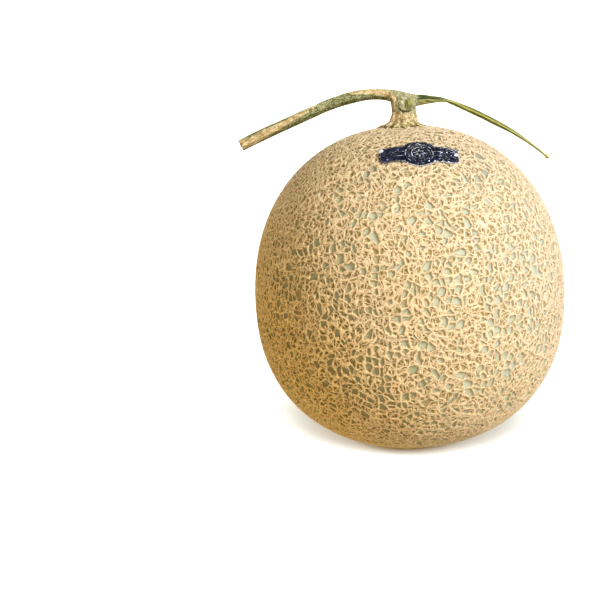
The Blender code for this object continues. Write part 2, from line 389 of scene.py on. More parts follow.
# The height of the vine's middle line over the fruit's top at places along it, in mm.
VINE_HEIGHTS = (
    (-77.3, -8.2),
    (-54.5, 2.2),
    (-45.3, 6.2),
    (-36.1, 10.1),
    (-26.9, 12.9),
    (-20.5, 14.1),
    (-15.0, 14.4),
    (-5.8, 13.2),
    (1.5, 11.7),
    (11.6, 11.8),
    (17.1, 11.1),
    (28.2, 6.5),
    (41.2, 0.0),
    (54.2, -7.8),
    (65.0, -15.8),
)

# Where the vine's curve begins and ends, how far from the fruit's top its heights can go, how far the vine
# swings to the back for its way to the right, and where the stalk is on it.
VINE_LEFT, VINE_RIGHT = -80 * MM, 70 * MM
HEIGHT_SPAN = 30 * MM
VINE_SWING = 0.105
STALK_X = -2.8 * MM

# Extra forms on the vine as (x, y, height above the fruit's top, thickness), in mm. The green ones are the
# two strands of the thin arm's foot with a rib down the stalk between them, and the cork ones run off the
# thick arm and down the stalk.
GREEN_TUBES = (
    ((0, 1.0, 12.9, 3.2), (4, 1.3, 13.0, 2.4), (8, 1.5, 12.8, 1.9),
     (12, 1.8, 12.4, 1.7), (17, 2.2, 11.3, 1.5)),
    ((2.6, -1.5, 11.5, 1.8), (2.4, -1.6, 8.5, 2.0), (2.3, -1.6, 5.5, 2.0),
     (3.1, -1.8, 3.2, 1.6), (5.0, -2.0, 1.0, 1.2)),
    ((1, -0.9, 10.0, 3.6), (5, -0.6, 10.2, 2.8), (9, 0.4, 10.9, 2.1),
     (13, 1.4, 11.1, 1.7), (17, 2.1, 10.8, 1.4)),
)
CORK_TUBES = (
    ((-27, -3.7, 15.0, 1.2), (-21, -3.4, 15.6, 1.8), (-15, -2.9, 15.7, 2.1), (-10, -2.6, 14.9, 2.2),
     (-6.4, -3.0, 12.6, 2.2), (-6.2, -3.2, 9.5, 2.0), (-6.4, -3.3, 5.8, 1.9), (-7.0, -3.8, 3.4, 1.6),
     (-8.2, -4.6, 1.7, 1.3), (-10.6, -5.6, -0.1, 1.1)),
    ((-8, 0.5, 14.6, 2.2), (-6.9, 0.5, 11.5, 2.2), (-6.6, 0.4, 8.0, 2.0), (-6.9, 0.4, 4.8, 1.8),
     (-7.8, 0.4, 3.0, 1.5), (-9.4, 0.5, 1.5, 1.3), (-12.5, 0.7, -0.3, 1.0), (-14.5, 0.8, -1.1, 0.8)),
)
ROOTS = 21

# The knobs on the stalk: how far across, to the front and up from its seat, and their radius, in mm. The
# tip of the thin arm has its x and y, its height above the fruit's top and its radius.
BUD = (3.3, 4.6, 10.6, 2.0)
SCAR = (-0.3, 4.5, 10.7, 1.1)
TIP = (64.2, 6.8, -15.4, 1.2)

# How far out from the stalk's middle a root is, how high over its seat and how thick, in mm. The last point
# reaches out further on some roots than on others.
ROOT_PATH = ((4.7, 6.2, 0.7), (4.9, 4.1, 1.0), (5.9, 2.6, 1.2), (7.5, 1.4, 1.3), (9.2, 0.3, 1.2))
ROOT_END = (-0.9, 0.9)

# The vine's colours. A pair is mixed from its first to its second by streaks, blotches or specks.
PALE_CORK = (0.80, 0.70, 0.47)
UNDERSIDE_SHADE = ((0.06, 0.06, 0.015), (0.19, 0.175, 0.06))
PALE_SPECKS = (0.38, 0.38, 0.24)
STALK_BARK = ((0.23, 0.22, 0.12), (0.44, 0.42, 0.285))
LOWER_STRAND = ((0.09, 0.085, 0.02), (0.27, 0.26, 0.10))
UPPER_STRAND = ((0.035, 0.055, 0.01), (0.10, 0.13, 0.04))
STRAND_HIGHLIGHT = (0.50, 0.45, 0.23)
STRAND_GROOVE_SHADE = (0.04, 0.05, 0.01)
THIN_ARM = ((0.065, 0.065, 0.004), (0.19, 0.21, 0.055))
THIN_ARM_EDGE = (0.20, 0.19, 0.04)
THIN_ARM_RIDGE = (0.46, 0.46, 0.15)
THIN_ARM_TOP = (0.12, 0.135, 0.045)
THIN_ARM_STREAKS = (0.34, 0.35, 0.12)
THIN_ARM_END = (0.44, 0.46, 0.22)
BUD_SKIN = ((0.15, 0.16, 0.05), (0.34, 0.35, 0.14))
FLARE_BARK = ((0.24, 0.19, 0.08), (0.62, 0.53, 0.33))
FOOT_SHADE = (0.13, 0.14, 0.03)
SCAR_SKIN = (0.50, 0.48, 0.34)
CREASE_SHADE = (0.06, 0.05, 0.008)
CORK_SPOTS = (0.12, 0.06, 0.025)
CUT_END = ((0.14, 0.06, 0.03), (0.50, 0.35, 0.16))
DRY_TIP = ((0.42, 0.38, 0.16), (0.66, 0.64, 0.38))


def add_tube(name, stations):
    """A round tube of varying thickness along stations of (x, y, height above the fruit's top, thickness)."""
    deselect()
    bpy.ops.curve.primitive_nurbs_path_add()
    tube = bpy.context.object
    tube.name = name
    spline = tube.data.splines[0]
    spline.points.add(len(stations) - len(spline.points))
    for point, (x, y, height, thickness) in zip(spline.points, stations):
        point.co = (x * MM, y * MM, FRUIT_HEIGHT + height * MM, 1)
        point.radius = thickness / 2
    spline.use_endpoint_u = True
    tube.data.bevel_depth = MM
    tube.data.bevel_resolution = 4
    tube.data.use_fill_caps = True
    bpy.ops.object.convert(target="MESH")
    return bpy.context.object


def on_stalk(across, front, height):
    """A point of the stalk, from how far across, to the front and up it is from its seat, in mm."""
    side = Vector((AXIS.z, 0, -AXIS.x))
    return SEAT + (side * across - Vector((0, front, 0)) + AXIS * height) * MM


def root_stations(i):
    """A root of the stalk: down its side and out over the rind."""
    turn = 2 * math.pi * (i + 0.45 * math.sin(5.1 * i)) / ROOTS
    reach = 11.2 + 1.2 * math.sin(2.7 * i)
    bulk = 1 + 0.35 * math.sin(3.9 * i)
    for step, (out, height, thickness) in enumerate((*ROOT_PATH, (reach, *ROOT_END))):
        wander = 0.1 * math.sin(4.3 * i + 1.7 * step)
        point = on_stalk(out * math.cos(turn + wander), out * math.sin(turn + wander), height)
        yield point.x / MM, point.y / MM, (point.z - FRUIT_HEIGHT) / MM, thickness * bulk


def add_knob(name, place, radius):
    deselect()
    bpy.ops.mesh.primitive_ico_sphere_add(subdivisions=3, radius=radius * MM, location=place)
    knob = bpy.context.object
    knob.name = name
    bpy.ops.object.transform_apply()
    return knob


def joined(objects, name):
    pick(*objects)
    if len(objects) > 1:
        bpy.ops.object.join()
    made = bpy.context.object
    made.name = made.data.name = name
    return made


def copy_of(obj, name):
    made = obj.copy()
    made.data = obj.data.copy()
    made.name = made.data.name = name
    bpy.context.scene.collection.objects.link(made)
    return made


def frame_copy(node):
    """A loose copy of a CAD node's mesh with its triangles merged, free of the frame."""
    made = copy_of(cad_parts[node], "copy")
    made.parent = None
    for key in list(made.keys()):
        del made[key]
    pick(made)
    bpy.ops.object.mode_set(mode="EDIT")
    bpy.ops.mesh.select_all(action="SELECT")
    bpy.ops.mesh.remove_doubles(threshold=1e-6)
    bpy.ops.object.mode_set(mode="OBJECT")
    made.data.materials.clear()
    return made


def z_over_seat(place):
    _, _, z = place.parts()
    return z - SEAT.z


def vine_places(place):
    """Along the vine, in front of its middle line and above it, and how far a place is onto an arm."""
    x, y, z = place.parts()

    def share_of_length(value):
        return (value - VINE_LEFT) / (VINE_RIGHT - VINE_LEFT)

    share = share_of_length(x)
    curve = [
        (share_of_length(along * MM), (height * MM + HEIGHT_SPAN) / (2 * HEIGHT_SPAN))
        for along, height in VINE_HEIGHTS
    ]
    line = share.node("ShaderNodeFloatCurve", {"curve": curve}, {"Factor": 1.0, "Value": share})
    above = z - (FRUIT_HEIGHT - HEIGHT_SPAN) - line * (2 * HEIGHT_SPAN)
    front = x * VINE_SWING - y
    arm = abs(x - STALK_X).smooth(5 * MM, 8 * MM)
    return x, front, above, arm


def bark_streaks(place, fineness):
    """Streaks that run along the arms of the vine and up its stalk."""
    x, front, above, arm = vine_places(place)
    _, _, z = place.parts()
    on_arm = place.joined(x * 0.22, front, above).noise(fineness, 3.0, 0.6)
    on_stalk = place.joined(x, front, z * 0.2).noise(fineness * 1.2, 3.0, 0.6)
    return on_stalk + arm * (on_arm - on_stalk)


def near_knob(place, across, front, height, radius):
    """1 on a knob of the stalk, and 0 off it."""
    distance = place.vector("SUBTRACT", on_stalk(across, front, height)).length()
    return distance.smooth(radius * MM * 0.95, radius * MM * 1.3, 1.0, 0.0)


def under_bud(place):
    """1 in the crease that curves round under the bud, where the vine's colour has painted shade."""
    x, y, z = place.parts()
    aside = (x + 1.2 * MM) / (3.3 * MM)
    wobble = 1.6 * MM * (place.noise(500.0) - 0.5)
    height = z + wobble - SEAT.z - 6.9 * MM - 1.3 * MM * aside * aside
    crease = abs(height).smooth(0.25 * MM, 0.8 * MM, 1.0, 0.0)
    return crease * abs(aside).smooth(0.9, 1.2, 1.0, 0.0) * (0 - y).smooth(2 * MM, 4 * MM)


def between_strands(x, above):
    """1 in the groove between the two strands of the thin arm's foot."""
    groove = abs(above - 0.35 * MM + x * 0.02).smooth(0.1 * MM, 0.4 * MM, 1.0, 0.0)
    return groove * x.smooth(3 * MM, 5 * MM) * x.smooth(13 * MM, 18 * MM, 1.0, 0.0)


class Bark:
    """Where a place is on the vine and how its grain runs there, for the colours of the vine's parts."""

    def __init__(self, place):
        self.place = place
        self.x, _, self.above, self.arm = vine_places(place)
        self.cork = place.node("ShaderNodeAttribute", {"attribute_name": "cork"}).out("Fac")
        self.streak = bark_streaks(place, 1000.0)
        self.broad = bark_streaks(place, 330.0)
        self.blotch = place.noise(420.0, 3.0)
        self.speck = place.noise(1500.0, 1.0)
        self.low_share = self.above / (2.8 * MM)
        self.left = (0 - self.x).smooth(7 * MM, 12 * MM)

    def cork_tan(self, sizes):
        """The cork's colour, palest on its crests."""
        grain = 0.4 * self.streak + 0.3 * self.blotch + 0.3 * self.speck
        tan = grain.smooth(0.42, 0.54).mix(sizes.cork_shade, sizes.cork_colour)
        return (0.85 * grain.smooth(0.52, 0.6)).mix(tan, PALE_CORK)

    def mottled_green(self, sizes):
        """The thick arm's green, with painted shade on its underside, speckled, and the stalk's paler bark.
        """
        mottle = (0.35 * self.streak + 0.2 * self.blotch + 0.45 * self.speck).smooth(0.45, 0.56)
        green = mottle.mix(sizes.dark_green, sizes.sage_green)
        # Painted shade: the thick arm's underside is darkened towards a dark olive.
        under_shade = self.low_share.smooth(-0.75, -0.15, 1.0, 0.0) * self.left
        green = (0.8 * under_shade).mix(green, mottle.mix(*UNDERSIDE_SHADE))
        green = (self.speck.smooth(0.56, 0.66, 0.0, 0.6) * self.left).mix(green, PALE_SPECKS)
        return (0.85 - 0.85 * self.arm).mix(green, mottle.mix(*STALK_BARK))

    def with_strands(self, green):
        """Adds the two strands of the thin arm's foot, with a painted highlight along the lower one's top and
        painted shade in the groove between them.
        """
        x, above, streak = self.x, self.above, self.streak
        strands = x.smooth(3 * MM, 6 * MM) * x.smooth(14 * MM, 19 * MM, 1.0, 0.0)
        upper = above.smooth(0.3 * MM, 0.6 * MM)
        lower_green = streak.smooth(0.4, 0.6).mix(*LOWER_STRAND)
        upper_green = streak.smooth(0.4, 0.65).mix(*UPPER_STRAND)
        green = strands.mix(green, upper.mix(lower_green, upper_green))
        # A painted highlight: a pale line along the top of the lower strand.
        ridge = strands * abs(above + 0.1 * MM).smooth(0.1 * MM, 0.35 * MM, 1.0, 0.0)
        ridge = ridge * x.smooth(9 * MM, 12 * MM, 1.0, 0.2)
        green = (0.85 * ridge).mix(green, STRAND_HIGHLIGHT)
        # Painted shade in the groove between the strands.
        return between_strands(x, above).mix(green, STRAND_GROOVE_SHADE)

    def with_thin_arm(self, green):
        """Adds the stripes along the thin arm, which grows paler towards its end."""
        x, streak = self.x, self.streak
        level = self.above / (1.65 * MM - 0.013 * x)
        stripes = level.smooth(-0.25, -0.1).mix(*THIN_ARM)
        stripes = level.smooth(-0.65, -0.5, 1.0, 0.0).mix(stripes, THIN_ARM_EDGE)
        stripes = abs(level - 0.08).smooth(0.06, 0.2, 1.0, 0.0).mix(stripes, THIN_ARM_RIDGE)
        stripes = level.smooth(0.45, 0.7).mix(stripes, THIN_ARM_TOP)
        stripes = (0.5 * streak.smooth(0.5, 0.65)).mix(stripes, THIN_ARM_STREAKS)
        stripes = x.smooth(40 * MM, 60 * MM, 0.0, 0.55).mix(stripes, THIN_ARM_END)
        return x.smooth(15 * MM, 19 * MM).mix(green, stripes)

    def golden_streak(self):
        """1 on the cork that runs along the thick arm, rising from its cut end towards its top."""
        x = self.x
        rise = x.smooth(-76 * MM, -30 * MM, -0.15, 0.85)
        band = 0.5 + x.smooth(-76 * MM, -45 * MM, 0.4, 0.0)
        on_streak = abs(self.low_share - rise).smooth(band - 0.25, band, 1.0, 0.0) * self.left
        bare = abs(x + 34 * MM).smooth(4 * MM, 9 * MM, 0.3, 0.0)
        patches = x.smooth(-56 * MM, -44 * MM, 0.2, 0.05) + x.smooth(-30 * MM, -22 * MM, 0.0, 0.15) - bare
        grain = 0.4 * self.broad + 0.3 * self.blotch + 0.3 * self.speck
        return on_streak * (grain + patches).smooth(0.49, 0.56)

    def with_stalk(self, colour, tan):
        """Adds the bud, the corky ribs, the flared foot with painted shade at its base, the scar, painted
        shade in the crease under the bud and the cork's dark spots.
        """
        place, cork, speck = self.place, self.cork, self.speck
        colour = near_knob(place, *BUD).mix(colour, self.streak.smooth(0.4, 0.6).mix(*BUD_SKIN))
        colour = cork.mix(colour, tan)
        height = z_over_seat(place)
        by_stalk = abs(self.x - STALK_X).smooth(14 * MM, 17 * MM, 1.0, 0.0)
        flare = height.smooth(3.5 * MM, 6.0 * MM, 1.0, 0.0) * by_stalk
        pale = (0.5 * self.blotch + 0.5 * speck).smooth(0.42, 0.56).mix(*FLARE_BARK)
        colour = (flare * 0.85).mix(colour, pale)
        # Painted shade in the gaps between the roots at the stalk's foot.
        foot = height.smooth(0.9 * MM, 2.2 * MM, 1.0, 0.0) * cork.smooth(0.2, 0.7, 1.0, 0.0) * by_stalk
        colour = (0.9 * foot).mix(colour, FOOT_SHADE)
        colour = (0.85 * near_knob(place, *SCAR)).mix(colour, SCAR_SKIN)
        # Painted shade in the crease under the bud.
        colour = (0.95 * under_bud(place)).mix(colour, CREASE_SHADE)
        spots = (0.6 * place.noise(600.0) + 0.4 * speck).smooth(0.46, 0.53) * (1 - self.arm) * cork
        return (0.85 * spots * height.smooth(5 * MM, 7 * MM)).mix(colour, CORK_SPOTS)

    def with_ends(self, colour):
        """Adds the thick arm's brown cut and the thin arm's dried tip."""
        cut = (0 - self.x).smooth(76.0 * MM, 76.7 * MM)
        colour = cut.mix(colour, self.blotch.smooth(0.4, 0.55).mix(*CUT_END))
        tip = self.x.smooth(60 * MM, 64 * MM)
        return tip.mix(colour, self.speck.smooth(0.4, 0.6).mix(*DRY_TIP))


def stem_finish(sizes):
    finish, shader = new_finish("vine bark", roughness=0.7)
    shader.inputs["Specular IOR Level"].default_value = 0.25
    place = object_place(finish.node_tree)
    bark = Bark(place)
    tan = bark.cork_tan(sizes)
    green = bark.with_thin_arm(bark.with_strands(bark.mottled_green(sizes)))
    colour = bark.golden_streak().mix(green, tan)
    feed(shader, "Base Color", bark.with_ends(bark.with_stalk(colour, tan)))
    rough = bark.streak * 0.4 + bark.speck * 0.3 + 0.3 * bark.blotch
    feed(shader, "Normal", place.bump(0.9, 0.6 * MM, rough))
    return finish


# The label

LABEL_FROM_TOP = math.radians(29)
LABEL_X = 4.2 * MM
LABEL_TURN = math.radians(-2)
BAND_SQUARENESS = 7.0

# How far the foil stands off the net's crests, sinks over its pits, crumples, and curls up along its edge.
FOIL_GAP = 0.05 * MM
FOIL_SINK = 0.5 * MM
FOIL_CRUMPLE = 0.35 * MM
FOIL_CURL = 0.35 * MM
CURL_WIDTH = 1.5 * MM

# The pattern's outer ring: how far it reaches along and across the label and its mean, and then the inner
# ring, the frilled one between them and the flower, all in mm.
RING_ALONG, RING_ACROSS, RING = 6.1, 7.0, 6.5
INNER_RING = 3.6
FRILL_RING = 5.1
FLOWER = 2.0

# Where glints are painted on the foil as silver patches: along and across the label and how wide, in mm.
PAINTED_GLINTS = ((-16.9, 3.6, 2.2), (17.0, 1.2, 1.8))


def label_frame():
    """The direction of the label's middle, and the directions along and across the label."""
    facing = Vector((LABEL_X / HALF_WIDTH, -math.sin(LABEL_FROM_TOP), math.cos(LABEL_FROM_TOP))).normalized()
    right = Vector((0, 0, 1)).cross(facing).normalized()
    up = facing.cross(right)
    along = right * math.cos(LABEL_TURN) + up * math.sin(LABEL_TURN)
    return facing, along, facing.cross(along)


def label_outline(along_share, sizes):
    """Half the label's width at a share of the way from its middle to its end."""
    rounding = (1 - (abs(along_share) ** BAND_SQUARENESS)).most(0.0) ** (1 / BAND_SQUARENESS)
    band = sizes.band_width / 2 * rounding
    across_oval = along_share * (sizes.band_length / sizes.oval_length)
    oval = sizes.oval_width / 2 * (1 - across_oval * across_oval).most(0.0) ** 0.5
    return band.most(oval)


def foil_finish(sizes):
    finish, shader = new_finish("navy foil", roughness=0.25)
    place = Flow(finish.node_tree).node("ShaderNodeAttribute", {"attribute_name": "foil_place"}).out("Vector")
    x, y, edge = place.parts()

    def stroke(value, width, soft=0.08 * MM):
        """1 where a distance is within half a stroke's width."""
        return abs(value).smooth(width / 2, width / 2 + soft, 1.0, 0.0)

    def lattice(pitch, width):
        """Fine lines that cross in diamonds."""
        shares = ((x + y) / pitch, (x - y) / pitch)
        first, second = (abs(share.math("FRACT", share) - 0.5) * pitch for share in shares)
        return stroke(first.least(second), width, 0.06 * MM)

    border = edge.smooth(0.3 * MM, 0.4 * MM, 1.0, 0.0)
    hairline = stroke(edge - 0.75 * MM, 0.14 * MM)
    ring_size = ((x * x) / RING_ALONG**2 + (y * y) / RING_ACROSS**2) ** 0.5 * RING
    in_oval = ring_size.smooth(RING * MM, (RING + 0.1) * MM, 1.0, 0.0)
    inner_ring = stroke(ring_size - INNER_RING * MM, 0.3 * MM)
    rings = stroke(ring_size - RING * MM, 0.3 * MM).most(inner_ring)
    turn = y.math("ARCTAN2", y, x)
    teeth = turn.math("COSINE", turn * 26.0)
    frill = stroke(ring_size - FRILL_RING * MM - 0.45 * MM * teeth, 0.3 * MM)
    petals = turn.math("COSINE", turn * 8.0)
    flower = (ring_size - FLOWER * MM - 0.8 * MM * petals).smooth(-0.05 * MM, 0.1 * MM, 1.0, 0.0)
    flower = flower * ring_size.smooth(0.7 * MM, 0.9 * MM)
    in_band = (1 - in_oval) * edge.smooth(1.2 * MM, 1.4 * MM) * abs(x).smooth(8.6 * MM, 8.8 * MM)
    band = in_band * lattice(1.9 * MM, 0.2 * MM) * x.smooth(-9 * MM, 9 * MM, 0.3, 0.8)
    lines = stroke(abs(y) - 1.5 * MM, 0.16 * MM) * (1 - in_oval) * abs(x).smooth(8 * MM, 14 * MM, 1.0, 0.0)
    motif = (in_oval * frill.most(flower)).most(1.3 * rings) * y.smooth(-7 * MM, 1 * MM, 0.35, 1.1)
    worn = place.noise(500.0, 2.0).smooth(0.4, 0.6, 0.15, 1.0)
    edging = (x - 2 * y).smooth(-10 * MM, 14 * MM, 0.1, 0.9) * border
    silver_print_and_glints = edging.most(0.3 * hairline).most(0.75 * motif.most(band).most(lines) * worn)
    # Painted glints: silver patches where the foil should catch the light.
    for glint_x, glint_y, size in PAINTED_GLINTS:
        off_glint = x.joined(x - glint_x * MM, y - glint_y * MM, 0.0).length()
        silver_print_and_glints = silver_print_and_glints.most(stroke(off_glint, size * MM, 0.5 * MM))
    feed(shader, "Metallic", 0.9 - 0.5 * silver_print_and_glints)
    feed(shader, "Base Color", silver_print_and_glints.mix(sizes.foil_colour, sizes.silver_colour))
    shader.inputs["Coat Weight"].default_value = 0.2
    shader.inputs["Coat Roughness"].default_value = 0.08
    creases = place.noise(420.0, 2.0) + 0.3 * silver_print_and_glints
    feed(shader, "Normal", place.bump(0.5, 0.6 * MM, creases))
    return finish


# What a user would change

def number(name, description, default, **settings):
    return bpy.props.FloatProperty(name=name, description=description, default=default, **settings)


def length(name, description, default):
    return number(name, description, default, unit="LENGTH", precision=5)


def power(name, description, default):
    return number(name, description, default, unit="POWER")


def colour(name, description, default):
    return bpy.props.FloatVectorProperty(
        name=name, description=description, default=default, subtype="COLOR", size=3
    )


class RindSettings(bpy.types.PropertyGroup):
    cell_size: length("Cell size", "Mean distance between the cells of the net", 3.25 * MM)
    rope_width: length("Rope width", "Mean width of a main ridge of cork", 1.4 * MM)
    net_height: length("Net height", "Height of the net's crests over the bare skin", 0.9 * MM)
    triangles: bpy.props.IntProperty(
        name="Triangles", description="Triangles of the finished rind", default=195000
    )
    crest_colour: colour("Rim colour", "Pale cork round the open cells", (0.79, 0.66, 0.45))
    cork_colour: colour("Cork colour", "Cork on the ridges' tops", (0.60, 0.46, 0.268))
    flank_colour: colour("Flank colour", "Cork on the ridges' sides and in cracks", (0.47, 0.355, 0.17))
    pit_colour: colour("Pit colour", "Cork deep between the ridges", (0.36, 0.285, 0.12))
    skin_colour: colour("Skin colour", "Bare skin in the open cells", (0.45, 0.46, 0.34))


class StemSettings(bpy.types.PropertyGroup):
    voxel: length("Voxel", "Size of the voxels that join the vine's forms", 0.3 * MM)
    groove_depth: length("Groove depth", "Depth of the grooves along the vine", 0.45 * MM)
    sage_green: colour("Sage green", "The vine's paler green", (0.34, 0.34, 0.20))
    dark_green: colour("Dark green", "The vine's green in its grooves", (0.11, 0.12, 0.045))
    cork_colour: colour("Cork", "Cork on the vine", (0.52, 0.42, 0.25))
    cork_shade: colour("Cork shade", "Cork in the vine's grooves", (0.34, 0.24, 0.11))


class LabelSettings(bpy.types.PropertyGroup):
    band_length: length("Band length", "Length of the label's band", 36 * MM)
    band_width: length("Band width", "Width of the label's band", 11.0 * MM)
    oval_length: length("Oval length", "Length of the oval along the band", 16 * MM)
    oval_width: length("Oval width", "Width of the oval across the band", 18 * MM)
    thickness: length("Thickness", "Thickness of the foil", 0.12 * MM)
    foil_colour: colour("Foil colour", "The label's ground", (0.006, 0.012, 0.055))
    silver_colour: colour("Silver colour", "The label's border and motif", (0.78, 0.82, 0.95))


class StageSettings(bpy.types.PropertyGroup):
    floor_colour: colour("Floor colour", "The floor and its rim", (0.88, 0.88, 0.88))
    key_power: power("Key power", "Power of the main light", 15.0)
    fill_power: power("Fill power", "Power of the warm light from the left", 1.8)
    top_power: power("Top power", "Power of the light from above", 1.6)
    back_power: power("Back power", "Power of the light from behind", 6.0)
    bounce_power: power("Bounce power", "Power of the light that the table throws back up", 0.3)
    table_power: power("Table power", "Power of the light that whitens the floor", 38.0)
    side_power: power("Side power", "Power of each light that clears the melon's shadow", 11.0)
    wall_power: power("Wall power", "Power of each light on the floor's rim", 24.0)
    sky_colour: colour("Sky colour", "Light from all round, warmed by the room", (1.0, 0.93, 0.70))
    sky_strength: number("Sky strength", "Strength of the light from all round", 0.48)


class MELON_OT_rind(bpy.types.Operator):
    """Models the netted rind from a fine ball"""

    bl_idname = "melon.rind"
    bl_label = "Netted rind"

    def execute(self, context):
        sizes = context.scene.melon_rind
        deselect()
        bpy.ops.mesh.primitive_ico_sphere_add(subdivisions=9, radius=1)
        rind = context.object
        rind.name = rind.data.name = "rind"

        def shape(geometry):
            direction = position(geometry).vector("NORMALIZE")
            height, _, _ = net(direction, sizes)
            radius, along, across = rind_shape(direction)
            upper = along.math("GREATER_THAN", along, 0.0)
            off_ends = across.smooth(*STALK_END).most(1 - upper)
            off_ends = off_ends.least(across.smooth(*BLOSSOM_END).most(upper))
            depth = sizes.net_height * (1 - height) * off_ends + RIND_INSET
            inner = radius - depth
            upward = along.most(0.01)
            inner = inner.least(SEAT_HEIGHT / upward)
            where = direction.times(inner).moved(CENTRE)
            x, y, z = where.parts()
            return place_at(geometry, where.joined(x, y, z.most(0.0)))

        apply_nodes(rind, shape)
        apply_modifier(rind, "DECIMATE", ratio=sizes.triangles / len(rind.data.polygons))
        pick(rind)
        bpy.ops.object.shade_smooth()
        give(rind, rind_finish(sizes), "rind", "fruit")
        return {"FINISHED"}


class MELON_OT_stem(bpy.types.Operator):
    """Models the stalk and the two arms of the vine, grown from the frame's stem"""

    bl_idname = "melon.stem"
    bl_label = "Stalk and vine"

    def execute(self, context):
        sizes = context.scene.melon_stem
        green = [add_tube("strand", stations) for stations in GREEN_TUBES]
        cork = [add_tube("cork", stations) for stations in CORK_TUBES]
        cork += [add_tube("root", list(root_stations(i))) for i in range(ROOTS)]
        cork = joined(cork, "cork")
        knobs = [add_knob("knob", on_stalk(*knob[:3]), knob[3]) for knob in (BUD, SCAR)]
        tip = Vector((TIP[0], TIP[1], TIP[2] + FRUIT_HEIGHT / MM)) * MM
        knobs.append(add_knob("tip", tip, TIP[3]))
        body = [copy_of(cork, "cork_forms"), *green, *knobs, frame_copy("stem")]
        stem = joined(body, "vine")
        apply_modifier(stem, "REMESH", mode="VOXEL", voxel_size=sizes.voxel)
        apply_modifier(stem, "SMOOTH", factor=0.5, iterations=3)

        def shape(geometry):
            place = position(geometry)
            near = geometry.node("GeometryNodeObjectInfo", {}, {"Object": cork}).out("Geometry")
            nearest = near.node("GeometryNodeProximity", {"target_element": "FACES"}, {"Target": near})
            on_cork = nearest.out("Distance").smooth(0.15 * MM, 0.6 * MM, 1.0, 0.0)
            geometry = keep_as(geometry, "cork", on_cork)
            x, front, above, arm = vine_places(place)
            ribs = above.math("COSINE", 5.0 * above.math("ARCTAN2", above, front)) * arm
            warts = (place.noise(420.0, 3.0) - 0.5) * (1 - arm) * 2.2
            groove = 0.8 * (bark_streaks(place, 500.0) - 0.55) + 0.12 * ribs + warts
            groove = groove - 1.3 * under_bud(place) - 1.2 * between_strands(x, above)
            seat_height = z_over_seat(place)
            waist = seat_height.smooth(0.3 * MM, 1.5 * MM) * seat_height.smooth(2.5 * MM, 4.5 * MM, 1.0, 0.0)
            off_stalk = arm.least(abs(x - STALK_X).smooth(12 * MM, 15 * MM))
            groove = groove - 1.5 * waist * (1 - off_stalk)
            normal = geometry.node("GeometryNodeInputNormal")
            pushed = place.moved(normal.times(groove * sizes.groove_depth))
            return place_at(geometry, pushed)

        apply_nodes(stem, shape)
        bpy.data.objects.remove(cork)
        pick(stem)
        bpy.ops.object.shade_smooth()
        give(stem, stem_finish(sizes), "vine", "stem")
        return {"FINISHED"}


class MELON_OT_label(bpy.types.Operator):
    """Models the foil label, pressed over the net"""

    bl_idname = "melon.label"
    bl_label = "Foil label"

    def execute(self, context):
        sizes = context.scene.melon_label
        net_sizes = context.scene.melon_rind
        deselect()
        bpy.ops.mesh.primitive_grid_add(x_subdivisions=150, y_subdivisions=60, size=2)
        label = context.object
        label.name = label.data.name = "foil"
        facing, right, up = label_frame()
        middle = facing * rind_radius(facing)

        def shape(geometry):
            s, t, _ = position(geometry).parts()
            half = label_outline(s, sizes)
            x, y = s * (sizes.band_length / 2), t * half
            edge = (half - abs(y)).least(sizes.band_length / 2 - abs(x))
            geometry = keep_as(geometry, "foil_place", x.joined(x, y, edge), "FLOAT_VECTOR")
            along = x.joined(x, x, x).vector("MULTIPLY", right)
            across = y.joined(y, y, y).vector("MULTIPLY", up)
            direction = along.moved(across).moved(middle).vector("NORMALIZE")
            height, _, _ = net(direction, net_sizes)
            crumple = direction.noise(90.0, 2.0)
            radius, _, _ = rind_shape(direction)
            curl = edge.smooth(0.0, CURL_WIDTH, FOIL_CURL, 0.0) * direction.noise(30.0).smooth(0.45, 0.7)
            lift = FOIL_GAP - FOIL_SINK * (1 - height) + FOIL_CRUMPLE * crumple + curl
            return place_at(geometry, direction.times(radius + lift).moved(CENTRE))

        apply_nodes(label, shape)
        bpy.ops.object.mode_set(mode="EDIT")
        bpy.ops.mesh.select_all(action="SELECT")
        bpy.ops.mesh.remove_doubles(threshold=1e-5)
        bpy.ops.mesh.normals_make_consistent(inside=False)
        bpy.ops.object.mode_set(mode="OBJECT")
        if label.data.polygons[len(label.data.polygons) // 2].normal.dot(facing) < 0:
            label.data.flip_normals()
        apply_modifier(label, "SOLIDIFY", thickness=sizes.thickness, offset=1)
        pick(label)
        bpy.ops.object.shade_smooth_by_angle(angle=math.radians(40))
        give(label, foil_finish(sizes), "label_foil", "label")
        return {"FINISHED"}


# The camera, from the photograph's view: a long lens, ten degrees above the fruit's middle. The last two
# say where that middle is in the picture, in pixels.
CAMERA_LENS = 85
CAMERA_DISTANCE = 0.6704
CAMERA_RISE = math.radians(10)
SENSOR = 36
PICTURE = 600
MIDDLE_ACROSS = 408.66
MIDDLE_DOWN = 293.9

FLOOR_RADIUS = 1.3
FLOOR_RIM = 0.7
RIM_STEPS = 12

# The lights are squares, with their places and widths in metres.
KEY_PLACE = Vector((0.87, -0.78, 0.64))
KEY_WIDTH = 0.28
FILL_PLACE = Vector((-0.5, -0.9, 0.05))
FILL_WIDTH = 0.8
FILL_COLOUR = (1.0, 0.7, 0.34)
TOP_PLACE = Vector((0.1, -0.45, 1.05))
TOP_WIDTH = 0.5
BACK_PLACE = Vector((-0.1, 1.1, 0.4))
BACK_WIDTH = 0.6
BOUNCE_PLACE = Vector((0.0, -0.35, -0.3))
BOUNCE_WIDTH = 0.5
TABLE_PLACE = Vector((0.06, -1.1, 0.7))
TABLE_WIDTH = 0.7
SIDE_PLACE = Vector((1.1, -0.2, 0.4))
SIDE_WIDTH = 0.4
COOL = (0.9, 0.95, 1.0)

# The lights on the floor's rim, as distances out from the melon and up: where they stand, and their aim.
WALL_LIGHTS = 4
WALL_PLACE = (0.7, 1.0)
WALL_AIM = (2.0, 0.35)
WALL_WIDTH = 0.6


